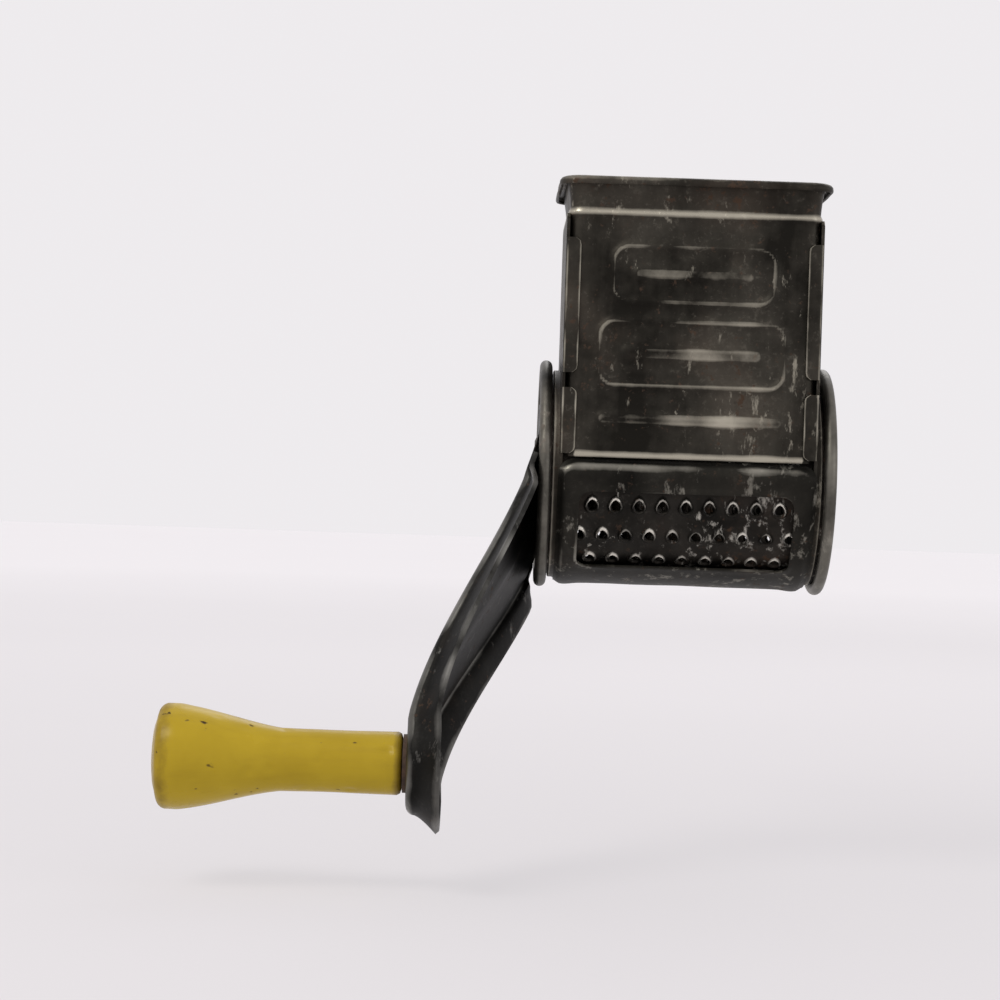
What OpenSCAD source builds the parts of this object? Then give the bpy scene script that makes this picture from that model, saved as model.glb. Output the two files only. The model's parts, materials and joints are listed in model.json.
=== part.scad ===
// Hand-held rotary cheese grater in tinned sheet metal, with a crank and a squeeze presser.
// X runs along the drum's axis (+X out of the open end), -Y is the front, +Z is up to the mouth.
// The origin is the centre of the drum's open end, on the drum's axis.

/* [Drum] */
// Outside diameter of the drum's plain ends
drum_d = 53; // [46:0.5:64]
// Sheet of the drum
drum_wall = 0.8; // [0.6:0.1:1.2]
// Height that a tooth stands above the drum
tooth_h = 0.9; // [0.4:0.1:1.4]
// Rows of teeth round the drum
tooth_rows = 20; // [12:2:24]
// Teeth in every second row, the others have one more
row_teeth = 9; // [5:1:9]
// Pitch of the teeth along the drum
tooth_pitch = 6; // [5:0.25:6.5]
// Hole under each tooth
tooth_hole_d = 2.6; // [1.6:0.1:3.2]
// How far an end flange stands out past the drum before its bead, in radius
flange_lip = 0.3; // [0.2:0.1:3]
// Diameter of the rolled bead round each end flange
bead_d = 3.2; // [2.4:0.1:4]
// Depth of the hem that lines the open end
hem_depth = 8; // [4:0.5:10]
// Diameter of the stiffening plate inside the closed end
hub_d = 26; // [22:1:34]

/* [Hopper] */
// Width across the two side plates, along the drum
body_w = 65.7; // [56:0.1:84]
// Depth from the front panel to the rear wall
hopper_depth = 46; // [42:1:60]
// Height of the mouth above the drum's axis
mouth_h = 75; // [62:1:96]
// Sheet of the hopper, the side plates and the covers
sheet = 0.8; // [0.6:0.1:1]
// Radius of the hopper's upright corners
corner_r = 3.2; // [2.4:0.1:5]
// Height of the flared lip
lip_h = 8.2; // [6:0.2:12]
// How far the lip flares out
lip_out = 1.8; // [1.2:0.1:4]
// Width of the tabs that fold over the front panel
tab_w = 3.8; // [3:0.1:6]

/* [Guard] */
// Width of the bars at the two sides of the window
guard_bar = 5.6; // [4:0.1:8]
// Angle below the axis at which the window starts
window_top_deg = 8; // [6:1:14]
// Angle below the axis at which the window ends
window_end_deg = 56; // [46:1:64]
// Radius of the rolled bead along the guard's top
roll_r = 4.2; // [3.6:0.1:5]

/* [Handle and presser] */
// From the drum's axis back to the presser's hinge
hinge_back = 118; // [105:1:140]
// Height of the hinge above the handle's web
hinge_rise = 16; // [15:0.5:20]
// Outside width of the rear handle
handle_w = 22; // [18:0.5:26]
// Sheet of the handle and the lever
strip = 1; // [0.8:0.1:1.4]
// Diameter of the hole for hanging it up
hang_d = 8; // [5:0.5:9]
// Diameter of the hinge pin
hinge_pin_d = 3; // [2.5:0.1:4]
// Thickness of the presser plate
presser_t = 1; // [0.8:0.1:1.5]

/* [Crank] */
// From the drum's axis to the grip's axis
crank_r = 92; // [76:1:112]
// How far the arm stands out from the drum's end
crank_out = 30; // [24:0.2:40]
// Sheet of the arm
arm_t = 1.2; // [1:0.1:1.6]
// How far the arm's broad end is centred below the drum's axis
arm_drop = 9; // [6:0.5:12]
// Half width of the arm at the grip
arm_tip_r = 12.5; // [11:0.5:15]
// Depth of the arm's turned edge at the grip
arm_edge = 7.5; // [5:0.5:9]
// How far that edge flares out round the tip
arm_flare = 4.4; // [2:0.2:6]
// Angle of the resting crank from straight down, towards the front
crank_rest = 38; // [0:1:60]

/* [Grip] */
// Length of the grip
grip_len = 60.4; // [50:0.2:74]
// Diameter of the grip's waist
grip_waist_d = 15.5; // [14:0.5:19]
// Largest diameter of the grip
grip_d = 26; // [22:0.2:32]
// Diameter of the pin that the grip turns on
grip_pin_d = 6; // [4:0.5:7]

/* [Clearances] */
// Radial gap of the drum in the side plates, and of each pin in its hole
run_gap = 0.08; // [0.04:0.01:0.1]
// Gap between the teeth and the covers
cover_gap = 0.8; // [0.6:0.1:1.5]
// Gap between the drum's flanges and the collars
end_gap = 0.35; // [0.2:0.05:0.8]
// Gap between the teeth and the presser plate
presser_gap = 2; // [1:0.1:3]
// Gap at each side of the lever
side_gap = 0.25; // [0.2:0.05:0.4]
// End play of the grip between its washers
grip_play = 0.2; // [0.1:0.05:0.5]

/* [Hidden] */
$fn = 96;
eps = 0.01;
tin = [0.36, 0.34, 0.31];
dark_tin = [0.27, 0.26, 0.24];
rivet_grey = [0.5, 0.49, 0.46];
yellow = [0.86, 0.71, 0.13];

// Drum, measured from its axis
drum_r = drum_d / 2;
bore_r = drum_r - drum_wall;
flange_r = drum_r + flange_lip + bead_d;
bead_r = bead_d / 2;
bead_at = flange_r - bead_r;
cover_r = drum_r + tooth_h + cover_gap;
cover_out_r = cover_r + sheet;

// Places along the drum, from the open end at 0 back to the closed end
collar_len = 1.7;
plate_x = -bead_d - end_gap - collar_len;
mid_x = plate_x - body_w / 2;
far_plate_x = plate_x - body_w;
end_x = 2 * mid_x;
web_in_x = end_x + bead_r + drum_wall / 2;
web_out_x = web_in_x - drum_wall;

// Hopper
front_y = -cover_out_r;
rear_y = front_y + hopper_depth;
wall_half = body_w / 2 - sheet;
inner_half = wall_half - sheet;
neck_z = mouth_h - lip_h;
front_foot_z = 4.2;
part_line = 0.2;
tab_gap = 3.8;
tab_low_z = front_foot_z + 0.8;
tab_mid_z = 25.6;
tab_top_z = 60;
rear_foot_z = sqrt(cover_out_r * cover_out_r - rear_y * rear_y) + 0.1;
lip_bead_r = 0.9;

// Rear handle
web_z = rear_foot_z + 0.4;
hinge_up = web_z + hinge_rise;
handle_side_h = 12;
hang_y = hinge_back + 8.5;
handle_end_y = hang_y + hang_d / 2 + 3.5;
foot_ear = 8;

rivet_r = 1.6;
head_r = 3;
head_h = 0.9;
foot_rivet_x = handle_w / 2 + foot_ear / 2;
foot_rivet_z = [web_z + 3.2, web_z + 8.8];

// Presser
lever_w = handle_w - 2 * strip - 2 * side_gap;
presser_r = drum_r + tooth_h + presser_gap;
press_top_r = presser_r + presser_t;
lever_z = hinge_up + 5.4;
foot_deg = 12;
lever_bend_y = rear_y + 4;
presser_front_deg = 42;
presser_back_room = 8.1;
presser_back_deg = asin((rear_y - presser_back_room) / press_top_r);
presser_side_gap = 1.6;
head_seat = 0.11;
notch_half = lever_w / 2 + 1.2;
foot_end = [(press_top_r + strip / 2) * sin(foot_deg), (press_top_r + strip / 2) * cos(foot_deg)];
slope = (lever_z - foot_end[1]) / (lever_bend_y - foot_end[0]);
notch_z = foot_end[1] + slope * (rear_y - sheet - foot_end[0]) - strip * sqrt(1 + slope * slope) - 0.2;
lever_side_h = 4.5;

// Crank arm: outward shift against the distance from the drum's axis
bend_start = 6;
bend_end = crank_r - 6;
pin_head_r = 4.6;
crank_rivet_r = 2.2;
crank_head_r = 3.8;
drive_at = 11;
rim_gap = 0.2;
arm_hub_r = sqrt(pow(bead_at - bead_r - rim_gap, 2) - arm_drop * arm_drop);
edge_start = flange_r / 2 + 1;
edge_root = 9;
edge_root_depth = 3.2;
tangent = asin((arm_hub_r - arm_tip_r) / (crank_r - arm_drop));
arm_face_x = web_out_x - arm_t;
grip_face_x = arm_face_x - crank_out;
washer_t = 1;
grip_start_x = grip_face_x - washer_t - grip_play;
grip_stop_x = grip_start_x - grip_len;
washer_recess = 2.2;
end_washer_x = grip_stop_x + washer_recess - grip_play - washer_t;
pin_stop_x = grip_stop_x + 0.4;

function part_way(r) = min(1, max(0, (r - bend_start) / (bend_end - bend_start)));
function ease(t) = 0.5 * t + 0.5 * t * t * (3 - 2 * t);
function arm_x(r) = arm_face_x - crank_out * ease(part_way(r));
function smooth(t) = t * t * (3 - 2 * t);
function clip(t) = min(1, max(0, t));
function edge_depth(r) = arm_t + edge_root_depth * smooth(clip((r - edge_start) / edge_root))
    + (arm_edge - arm_t - edge_root_depth)
    * clip((r - edge_start - edge_root) / (crank_r - edge_start - edge_root));
arm_steps = [for (i = [0:20]) bend_start + (bend_end - bend_start) * i / 20];
arm_rs = concat([-arm_hub_r - 1], arm_steps, [crank_r + arm_tip_r + arm_flare + 1]);

// Outline of a bent strip of thickness t along a path
function seg_normal(a, b) = [a[1] - b[1], b[0] - a[0]] / norm(b - a);
function path_normal(p, i) =
    let (n = len(p),
         before = i > 0 ? seg_normal(p[i - 1], p[i]) : seg_normal(p[0], p[1]),
         after = i < n - 1 ? seg_normal(p[i], p[i + 1]) : seg_normal(p[n - 2], p[n - 1]),
         mean = before + after)
    mean / norm(mean) / max(0.5, norm(mean) / 2);
function ribbon(p, t) = concat(
    [for (i = [0:len(p) - 1]) p[i] + path_normal(p, i) * t / 2],
    [for (i = [len(p) - 1:-1:0]) p[i] - path_normal(p, i) * t / 2]);
function on_circle(r, deg) = [r * cos(deg), r * sin(deg)];

// A YZ outline drawn out along X from x0 to x1
module along_x(x0, x1) translate([x0, 0, 0]) rotate([90, 0, 90]) linear_extrude(x1 - x0) children();
// A profile of [radius, x] turned about the X axis
module about_x() rotate([0, 90, 0]) rotate_extrude() children();
module rod_x(r, x0, x1) translate([x0, 0, 0]) rotate([0, 90, 0]) cylinder(r = r, h = x1 - x0);

// Sector of a ring about the drum's axis, from angle a to angle b, counted from +Y towards +Z
module arc_sheet(x0, x1, r0, r1, a, b) {
    far = 3 * r1;
    mid = (a + b) / 2;
    intersection() {
        difference() {
            rod_x(r1, x0, x1);
            rod_x(r0, x0 - 1, x1 + 1);
        }
        along_x(x0 - 1, x1 + 1)
            polygon([[0, 0], on_circle(far, a), on_circle(far, (a + mid) / 2), on_circle(far, mid),
                     on_circle(far, (b + mid) / 2), on_circle(far, b)]);
    }
}

// ---- housing ----
// Wall of the hopper in section: u outwards from the centre of a corner, v upwards
module wall_section(foot_z) {
    curl = 6;
    outer = [for (i = [0:curl]) [corner_r + lip_out * pow(i / curl, 1.6), neck_z + lip_h * i / curl]];
    inner = [for (i = [curl:-1:0]) outer[i] - [sheet, 0]];
    polygon(concat([[corner_r, foot_z]], outer, inner, [[corner_r - sheet, foot_z]]));
    translate([corner_r + lip_out - sheet / 2, mouth_h - lip_bead_r]) circle(r = lip_bead_r, $fn = 24);
}
module wall_run(x, y, turn, run) {
    translate([x, y, 0]) rotate([0, 0, turn]) rotate([90, 0, 0])
        linear_extrude(run) wall_section(front_foot_z);
}
module wall_corner(x, y, turn) {
    translate([x, y, 0]) rotate([0, 0, turn]) rotate_extrude(angle = 90, $fn = 48)
        wall_section(front_foot_z);
}
module hopper_shell() color(tin) {
    x0 = mid_x - wall_half + corner_r;
    x1 = mid_x + wall_half - corner_r;
    y0 = front_y + corner_r;
    y1 = rear_y - corner_r;
    difference() {
        union() {
            wall_run(x1, y1, 0, y1 - y0);
            wall_run(x0, y0, 180, y1 - y0);
            wall_run(x0, y1, 90, x1 - x0);
            wall_run(x1, y0, -90, x1 - x0);
            wall_corner(x1, y1, 0);
            wall_corner(x0, y1, 90);
            wall_corner(x0, y0, 180);
            wall_corner(x1, y0, 270);
        }
        rod_x(cover_r, mid_x - body_w, mid_x + body_w);
        intersection() {
            rod_x(cover_out_r, mid_x - body_w, mid_x + body_w);
            translate([mid_x - body_w, 0, 0]) cube([2 * body_w, flange_r, flange_r]);
        }
        translate([mid_x - body_w, rear_y - sheet - 3, 0]) cube([2 * body_w, 9, rear_foot_z]);
        translate([mid_x - notch_half, rear_y - sheet - 1, notch_z])
            cube([2 * notch_half, lip_out + sheet + 4, mouth_h]);
        for (s = [-1, 1], z = foot_rivet_z)
            translate([mid_x + s * foot_rivet_x, rear_y + 1, z]) rotate([90, 0, 0])
                cylinder(r = rivet_r, h = sheet + 2, $fn = 32);
    }
}

// A side plate with its outer face at x = 0, facing +X
module side_plate() {
    difference() {
        union() {
            rod_x(cover_r, -sheet, 0);
            along_x(-sheet, 0)
                polygon([[front_y, front_foot_z], [front_y, neck_z], [rear_y, neck_z],
                         [rear_y, rear_foot_z], [rear_y / 2, rear_foot_z / 2], [-cover_r / 2, front_foot_z]]);
            rod_x(drum_r + run_gap + sheet, -eps, collar_len);
            for (z = [[tab_low_z, tab_mid_z - tab_gap], [tab_mid_z, tab_top_z]])
                translate([-tab_w, front_y - sheet, z[0]]) cube([tab_w, sheet, z[1] - z[0]]);
        }
        rod_x(drum_r + run_gap, -body_w / 2, body_w / 2);
    }
}
module outlet_side_plate() color(tin) translate([plate_x, 0, 0]) side_plate();
module crank_side_plate() color(tin)
    translate([far_plate_x, 0, 0]) mirror([1, 0, 0]) side_plate();

module drum_guard() color(dark_tin) {
    top = 180 - asin((front_foot_z - part_line) / cover_out_r);
    x0 = far_plate_x - part_line;
    x1 = plate_x + part_line;
    difference() {
        union() {
            arc_sheet(x0, x1, cover_r, cover_out_r, top, 275);
            translate([0, -cover_out_r + roll_r - 1.4, -0.3]) rod_x(roll_r, x0, x1);
        }
        rod_x(cover_r, x0 - 1, x1 + 1);
        along_x(x0 + guard_bar, x1 - guard_bar)
            polygon([[0, 0], on_circle(90, 180 + window_top_deg),
                     on_circle(90, 180 + (window_top_deg + window_end_deg) / 2),
                     on_circle(90, 180 + window_end_deg)]);
        translate([x0 - 1, -90, front_foot_z - part_line]) cube([x1 - x0 + 2, 90, 20]);
    }
}
module rear_cover() color(dark_tin) {
    top = atan2(rear_foot_z - 0.5, rear_y + 0.2);
    arc_sheet(far_plate_x - part_line, plate_x + part_line, cover_r, cover_out_r, -25, top);
}

// ---- fixed handle ----
module handle_side() {
    polygon([[rear_y, web_z], [handle_end_y, web_z], [handle_end_y, web_z + 5],
             [hinge_back + 7, web_z + handle_side_h], [hinge_back + 5.5, hinge_up + 4],
             [hinge_back + 3, hinge_up + 5.6], [hinge_back - 3, hinge_up + 5.6],
             [hinge_back - 5.5, hinge_up + 4], [hinge_back - 10, web_z + handle_side_h],
             [rear_y, web_z + handle_side_h]]);
}
module rear_handle() color(tin) difference() {
    union() {
        for (s = [-1, 1]) along_x(mid_x + s * handle_w / 2 - (s > 0 ? strip : 0),
                                  mid_x + s * handle_w / 2 + (s > 0 ? 0 : strip)) handle_side();
        translate([mid_x - handle_w / 2, rear_y, web_z]) cube([handle_w, handle_end_y - rear_y, strip]);
        translate([mid_x - handle_w / 2 - foot_ear, rear_y, web_z])
            cube([handle_w + 2 * foot_ear, strip, handle_side_h]);
    }
    translate([0, hinge_back, hinge_up]) rod_x(hinge_pin_d / 2, mid_x - handle_w, mid_x + handle_w);
    translate([mid_x, hang_y, web_z - 1]) cylinder(d = hang_d, h = strip + 2, $fn = 48);
    for (s = [-1, 1], z = foot_rivet_z)
        translate([mid_x + s * foot_rivet_x, rear_y + strip + 1, z]) rotate([90, 0, 0])
            cylinder(r = rivet_r, h = strip + 2, $fn = 32);
}
// A rivet along -Y through a grip of g, with a low domed head at each end
module rivet(g, r, head) rotate([90, 0, 0]) rotate_extrude($fn = 32)
    polygon([[0, -head_h], [head * 0.55, -head_h], [head * 0.85, -head_h * 0.6], [head, 0], [r, 0],
             [r, g], [head, g], [head * 0.85, g + head_h * 0.6], [head * 0.55, g + head_h],
             [0, g + head_h]]);
module handle_rivets() color(rivet_grey)
    for (s = [-1, 1], z = foot_rivet_z)
        translate([mid_x + s * foot_rivet_x, rear_y + strip, z]) rivet(strip + sheet, rivet_r, head_r);
module hinge_pin() color(rivet_grey)
    translate([mid_x + handle_w / 2, hinge_back, hinge_up]) rotate([0, 0, -90])
        rivet(handle_w, hinge_pin_d / 2, head_r);

// ---- presser ----
lever_path = [foot_end, [lever_bend_y, lever_z], [hinge_back + 3, lever_z]];
module presser_lever() color(tin) difference() {
    union() {
        arc_sheet(mid_x - lever_w / 2, mid_x + lever_w / 2, press_top_r, press_top_r + strip,
                  90 - foot_deg, 90 + foot_deg);
        along_x(mid_x - lever_w / 2, mid_x + lever_w / 2) polygon(ribbon(lever_path, strip));
        for (x = [mid_x - lever_w / 2, mid_x + lever_w / 2 - strip]) {
            along_x(x, x + strip)
                polygon([[lever_bend_y + 1, lever_z], [lever_bend_y + 5, lever_z - lever_side_h],
                         [hinge_back, lever_z - lever_side_h], [hinge_back + 3, lever_z - 2],
                         [hinge_back + 3, lever_z]]);
            translate([0, hinge_back, hinge_up]) rod_x(4.2, x, x + strip);
        }
    }
    translate([0, hinge_back, hinge_up])
        rod_x(hinge_pin_d / 2 + run_gap, mid_x - handle_w, mid_x + handle_w);
    presser_rivet_places() cylinder(r = rivet_r, h = 60, $fn = 32);
}
module presser_rivet_places() for (s = [-1, 1]) translate([mid_x + s * lever_w / 4, 0, 0]) children();
module presser_plate() color(tin) difference() {
    arc_sheet(mid_x - inner_half + presser_side_gap, mid_x + inner_half - presser_side_gap,
              presser_r, press_top_r, 90 - presser_back_deg, 90 + presser_front_deg);
    presser_rivet_places() cylinder(r = rivet_r, h = 60, $fn = 32);
}
module presser_rivets() color(rivet_grey)
    presser_rivet_places() translate([0, 0, press_top_r + strip]) rotate([90, 0, 0])
        rivet(presser_t + strip + head_seat, rivet_r, 2.4);

// ---- drum ----
module tooth_holes() {
    for (row = [0:tooth_rows - 1]) {
        count = row_teeth + row % 2;
        rotate([360 * row / tooth_rows, 0, 0])
            for (k = [0:count - 1])
                translate([mid_x + (k - (count - 1) / 2) * tooth_pitch, 0, bore_r - 2])
                    cylinder(d = tooth_hole_d, h = 5, $fn = 24);
    }
}
module drum_shell() color(dark_tin) difference() {
    rod_x(drum_r, web_in_x, -drum_wall);
    rod_x(bore_r, web_in_x - 1, 1);
    tooth_holes();
}
module drum_end_disc() color(tin) difference() {
    about_x() {
        translate([0, web_out_x]) square([bead_at, drum_wall]);
        translate([bead_at, end_x + bead_r]) circle(r = bead_r, $fn = 48);
    }
    rod_x(crank_rivet_r, end_x - 1, end_x + 9);
    drive_places() rod_x(rivet_r, end_x - 1, end_x + 9);
}
module drum_outlet_rim() color(tin) about_x() {
    translate([bore_r - drum_wall, -hem_depth]) square([drum_wall, hem_depth]);
    translate([bore_r - eps, -drum_wall]) square([bead_at - bore_r + eps, drum_wall]);
    difference() {
        translate([bead_at, -bead_r]) circle(r = bead_r, $fn = 48);
        translate([bead_at - bead_d, -bead_d]) square([bead_d - bead_r, bead_d]);
    }
}
module drive_places()
    for (s = [-1, 1]) rotate([-crank_rest, 0, 0]) translate([0, s * drive_at, 0]) children();
module drum_hub() color(tin) difference() {
    rod_x(hub_d / 2 + 2, web_in_x, web_in_x + arm_t);
    rod_x(crank_rivet_r, web_in_x - 1, web_in_x + 9);
    drive_places() rod_x(rivet_r, web_in_x - 1, web_in_x + 9);
}
hub_grip = 2 * arm_t + drum_wall;
module crank_rivet() color(rivet_grey)
    translate([arm_face_x, 0, 0]) rotate([0, 0, 90]) rivet(hub_grip, crank_rivet_r, crank_head_r);
module drive_rivets() color(rivet_grey)
    drive_places() translate([arm_face_x, 0, 0]) rotate([0, 0, 90]) rivet(hub_grip, rivet_r, 2.8);

// ---- crank arm, built hanging straight down ----
module arm_outline(inset) {
    rh = arm_hub_r - inset;
    rt = arm_tip_r - inset;
    translate([0, -arm_drop]) circle(r = rh);
    translate([0, -crank_r]) circle(r = rt);
    polygon([[rh * cos(tangent), -arm_drop - rh * sin(tangent)],
             [rt * cos(tangent), -crank_r - rt * sin(tangent)],
             [-rt * cos(tangent), -crank_r - rt * sin(tangent)],
             [-rh * cos(tangent), -arm_drop - rh * sin(tangent)]]);
}
// Side view of the arm between its outer face and a depth behind it
module arm_side(depth_of) {
    rotate([90, 0, 0]) linear_extrude(4 * arm_hub_r, center = true)
        polygon(concat([for (r = arm_rs) [arm_x(r), -r]],
                       [for (i = [len(arm_rs) - 1:-1:0])
                            [arm_x(arm_rs[i]) + (depth_of == 0 ? arm_t : edge_depth(arm_rs[i])),
                             -arm_rs[i]]]));
}
module arm_tip_flare() {
    section = [[arm_tip_r - arm_t, 0], [arm_tip_r, 0], [arm_tip_r + arm_flare, arm_edge],
               [arm_tip_r + arm_flare - arm_t, arm_edge]];
    translate([grip_face_x, 0, -crank_r]) intersection() {
        rotate([0, 90, 0]) rotate_extrude() polygon(section);
        translate([-1, -40, -40]) cube([arm_edge + 2, 80, 40]);
    }
}
module crank_arm() color(dark_tin) rotate([-crank_rest, 0, 0]) difference() {
    union() {
        intersection() {
            along_x(grip_face_x - 1, 0) arm_outline(0);
            arm_side(0);
        }
        intersection() {
            along_x(grip_face_x - 1, 0) difference() {
                arm_outline(0);
                arm_outline(arm_t);
            }
            arm_side(1);
            translate([grip_face_x - 1, -40, -crank_r]) cube([90, 80, crank_r]);
        }
        arm_tip_flare();
    }
    rod_x(crank_rivet_r, end_x - 9, end_x + 9);
    for (s = [-1, 1]) translate([0, s * drive_at, 0]) rod_x(rivet_r, end_x - 9, end_x + 9);
    translate([0, 0, -crank_r]) rod_x(grip_pin_d / 2, grip_face_x - 9, grip_face_x + 9);
}

// ---- grip, on an axis crank_r from the drum's ----
module at_grip() rotate([-crank_rest, 0, 0]) translate([0, 0, -crank_r]) children();
grip_bore_r = grip_pin_d / 2 + run_gap;
grip_end_r = grip_d / 2;
waist_r = grip_waist_d / 2;
belly_from = 0.5;
belly_to = 0.9;
function grip_at(t) = waist_r
    + (grip_end_r - waist_r) * ease(min(1, max(0, (t - belly_from) / (belly_to - belly_from))));
module grip() color(yellow) at_grip() about_x() difference() {
    polygon(concat(
        [[grip_bore_r, grip_start_x], [waist_r - 0.8, grip_start_x], [waist_r, grip_start_x - 0.8]],
        [for (i = [0:12]) let (t = belly_from + (belly_to - belly_from) * i / 12)
            [grip_at(t), grip_start_x - grip_len * t]],
        [for (i = [1:5]) [grip_end_r - 2.4 * (1 - cos(18 * i)), grip_stop_x + 2.4 + 1.2 - 2.4 * sin(18 * i)]],
        [[pin_head_r + 3, grip_stop_x], [grip_bore_r, grip_stop_x]]));
    translate([0, grip_stop_x - 1]) square([pin_head_r + 1.4, washer_recess + 1]);
}
module grip_pin() color(rivet_grey) at_grip() about_x()
    polygon([[0, pin_stop_x], [pin_head_r * 0.6, pin_stop_x], [pin_head_r * 0.8, pin_stop_x + 0.6],
             [pin_head_r * 0.8, end_washer_x], [grip_pin_d / 2, end_washer_x],
             [grip_pin_d / 2, grip_face_x + arm_t],
             [pin_head_r, grip_face_x + arm_t], [pin_head_r * 0.8, grip_face_x + arm_t + 1.2],
             [0, grip_face_x + arm_t + 1.6]]);
module washer(r, x) difference() {
    rod_x(r, x, x + washer_t);
    rod_x(grip_pin_d / 2, x - 1, x + washer_t + 1);
}
module grip_inner_washer() color("saddlebrown") at_grip()
    washer(waist_r - 0.6, grip_face_x - washer_t);
module grip_end_washer() color(rivet_grey) at_grip()
    washer(pin_head_r + 1, end_washer_x);

hopper_shell();
crank_side_plate();
outlet_side_plate();
drum_guard();
rear_cover();
rear_handle();
handle_rivets();
hinge_pin();
presser_lever();
presser_plate();
presser_rivets();
drum_shell();
drum_end_disc();
drum_outlet_rim();
drum_hub();
crank_rivet();
drive_rivets();
crank_arm();
grip_pin();
grip();
grip_inner_washer();
grip_end_washer();
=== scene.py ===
import json
import math

import bmesh
import bpy
from mathutils import Matrix, Vector, noise


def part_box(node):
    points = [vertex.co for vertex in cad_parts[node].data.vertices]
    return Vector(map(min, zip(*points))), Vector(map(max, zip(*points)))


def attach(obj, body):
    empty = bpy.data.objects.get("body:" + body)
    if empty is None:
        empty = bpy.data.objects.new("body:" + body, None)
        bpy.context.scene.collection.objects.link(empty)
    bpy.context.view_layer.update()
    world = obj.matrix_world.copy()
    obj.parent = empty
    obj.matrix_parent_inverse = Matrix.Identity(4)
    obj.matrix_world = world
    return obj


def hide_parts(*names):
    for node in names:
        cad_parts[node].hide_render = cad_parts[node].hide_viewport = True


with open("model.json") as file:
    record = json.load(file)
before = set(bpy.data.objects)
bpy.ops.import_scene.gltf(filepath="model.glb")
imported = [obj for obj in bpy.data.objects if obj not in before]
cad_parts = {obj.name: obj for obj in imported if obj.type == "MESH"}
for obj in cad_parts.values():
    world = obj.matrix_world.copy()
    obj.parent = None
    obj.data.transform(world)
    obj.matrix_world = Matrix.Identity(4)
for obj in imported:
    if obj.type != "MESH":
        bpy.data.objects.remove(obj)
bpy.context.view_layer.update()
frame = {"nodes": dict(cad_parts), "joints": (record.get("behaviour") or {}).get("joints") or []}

mm = 0.001
fullTurn = 2 * math.pi

# Places that several pieces share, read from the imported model
shellLow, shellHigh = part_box("drum_shell")
discLow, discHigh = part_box("drum_end_disc")
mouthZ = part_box("hopper_shell")[1].z
gripLow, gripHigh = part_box("grip")
joints = {joint["name"]: joint for joint in frame["joints"]}
gripAxis = Vector(joints["grip_spin"]["pos_m"])
drumR = shellHigh.z
flangeR = discHigh.z
endX = discLow.x
midX = endX / 2
crankR = math.hypot(gripAxis.y, gripAxis.z)
crankTilt = math.atan2(-gripAxis.y, -gripAxis.z)  # resting crank, from straight down towards the front


# A shader socket that takes part in Python expressions
class Flow:
    def __init__(self, tree, socket):
        self.tree = tree
        self.socket = socket

    def maths(self, operation, other, clamp=False):
        node = self.tree.nodes.new("ShaderNodeMath")
        node.operation = operation
        node.use_clamp = clamp
        for slot, value in enumerate((self, other)):
            feed(self.tree, node.inputs[slot], value)
        return Flow(self.tree, node.outputs[0])

    def __add__(self, other):
        return self.maths("ADD", other)

    def __radd__(self, other):
        return self.maths("ADD", other)

    def __sub__(self, other):
        return self.maths("SUBTRACT", other)

    def __rsub__(self, other):
        return flipped(self, "SUBTRACT", other)

    def __mul__(self, other):
        return self.maths("MULTIPLY", other)

    def __rmul__(self, other):
        return self.maths("MULTIPLY", other)

    def __truediv__(self, other):
        return self.maths("DIVIDE", other)

    def clamped(self):
        return self.maths("ADD", 0.0, clamp=True)

    def ramp(self, low, high):  # 0 below low, 1 above high
        return ((self - low) / (high - low)).clamped()


def feed(tree, socket, value):
    if isinstance(value, Flow):
        tree.links.new(value.socket, socket)
    else:
        socket.default_value = value


def flipped(flow, operation, other):
    node = flow.tree.nodes.new("ShaderNodeMath")
    node.operation = operation
    node.inputs[0].default_value = other
    flow.tree.links.new(flow.socket, node.inputs[1])
    return Flow(flow.tree, node.outputs[0])


# A material under construction
class Finish:
    def __init__(self, name):
        self.material = bpy.data.materials.new(name)
        self.material.use_nodes = True
        self.tree = self.material.node_tree
        self.shader = self.tree.nodes["Principled BSDF"]
        self.place = self.node("ShaderNodeTexCoord").socketNamed("Object")

    def node(self, kind, settings=None, **values):
        node = self.tree.nodes.new(kind)
        for key, value in (settings or {}).items():
            setattr(node, key, value)
        for key, value in values.items():
            feed(self.tree, node.inputs[key.replace("_", " ")], value)
        return Built(self.tree, node)

    def cloud(self, scale, detail, rough, place=None):
        made = self.node("ShaderNodeTexNoise", Vector=place or self.place, Scale=scale, Detail=detail,
                         Roughness=rough)
        return made.socketNamed("Fac")

    def cells(self, scale):
        made = self.node("ShaderNodeTexVoronoi", Vector=self.place, Scale=scale)
        return made.socketNamed("Distance")

    def stretched(self, scale, turn=(0, 0, 0)):
        made = self.node("ShaderNodeMapping", Vector=self.place, Scale=scale, Rotation=turn)
        return made.socketNamed("Vector")

    def attribute(self, name):
        return self.node("ShaderNodeAttribute", {"attribute_name": name}).socketNamed("Fac")

    def blend(self, factor, first, second):
        node = self.tree.nodes.new("ShaderNodeMix")
        node.data_type = "RGBA"
        feed(self.tree, node.inputs[0], factor)
        feed(self.tree, node.inputs[6], first)
        feed(self.tree, node.inputs[7], second)
        return Flow(self.tree, node.outputs[2])

    def bump(self, height, strength, distance):
        made = self.node("ShaderNodeBump", Height=height, Strength=strength, Distance=distance)
        return made.socketNamed("Normal")

    def put(self, **values):
        for key, value in values.items():
            feed(self.tree, self.shader.inputs[key.replace("_", " ")], value)
        return self.material


class Built:
    def __init__(self, tree, node):
        self.tree = tree
        self.node = node

    def socketNamed(self, name):
        return Flow(self.tree, self.node.outputs[name])


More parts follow.
